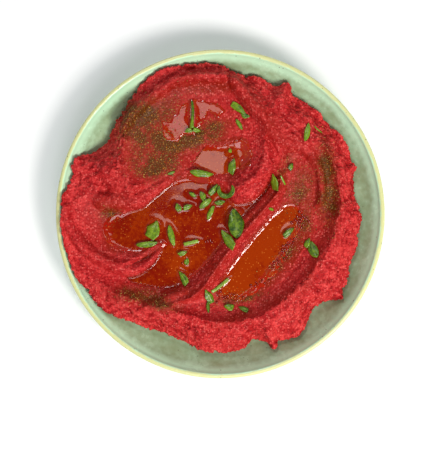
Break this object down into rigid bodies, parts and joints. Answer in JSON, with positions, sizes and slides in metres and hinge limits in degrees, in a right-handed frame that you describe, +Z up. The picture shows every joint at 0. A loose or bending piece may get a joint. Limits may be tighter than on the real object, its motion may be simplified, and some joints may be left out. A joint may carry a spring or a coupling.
{
  "type": "plate of beetroot hummus",
  "caption": "Beetroot hummus spread on a round coupe plate with spooned hollows, pools of olive oil and chopped mint, to dip bread or vegetables in.",
  "frame": {"origin": "centre of the plate's foot ring, on the surface it stands on", "axes": "+Z up; +Y towards the scooped hollow with the stalk, away from the viewer; +X to the viewer's right"},
  "size_m": [0.2, 0.2, 0.0285],
  "materials": {
    "glaze": "satin sage-green glaze with fine dark specks, and a paler yellow-green edge",
    "hummus": "moist, grainy beetroot and chickpea paste",
    "oil": "clear olive oil, stained red by what it lies on",
    "mint": "fresh chopped leaf"
  },
  "bodies": {
    "root": {"plate": "glaze", "hummus": "hummus", "oil_west": "oil", "oil_east": "oil", "oil_north": "oil", "mint_leaf_01": "mint", "mint_leaf_02": "mint", "mint_leaf_03": "mint", "mint_leaf_04": "mint", "mint_leaf_05": "mint", "mint_leaf_06": "mint", "mint_leaf_07": "mint", "mint_leaf_08": "mint", "mint_leaf_09": "mint", "mint_leaf_10": "mint", "mint_leaf_11": "mint", "mint_leaf_12": "mint", "mint_leaf_13": "mint", "mint_leaf_14": "mint", "mint_leaf_15": "mint", "mint_stalk": "mint"}
  },
  "joints": []
}
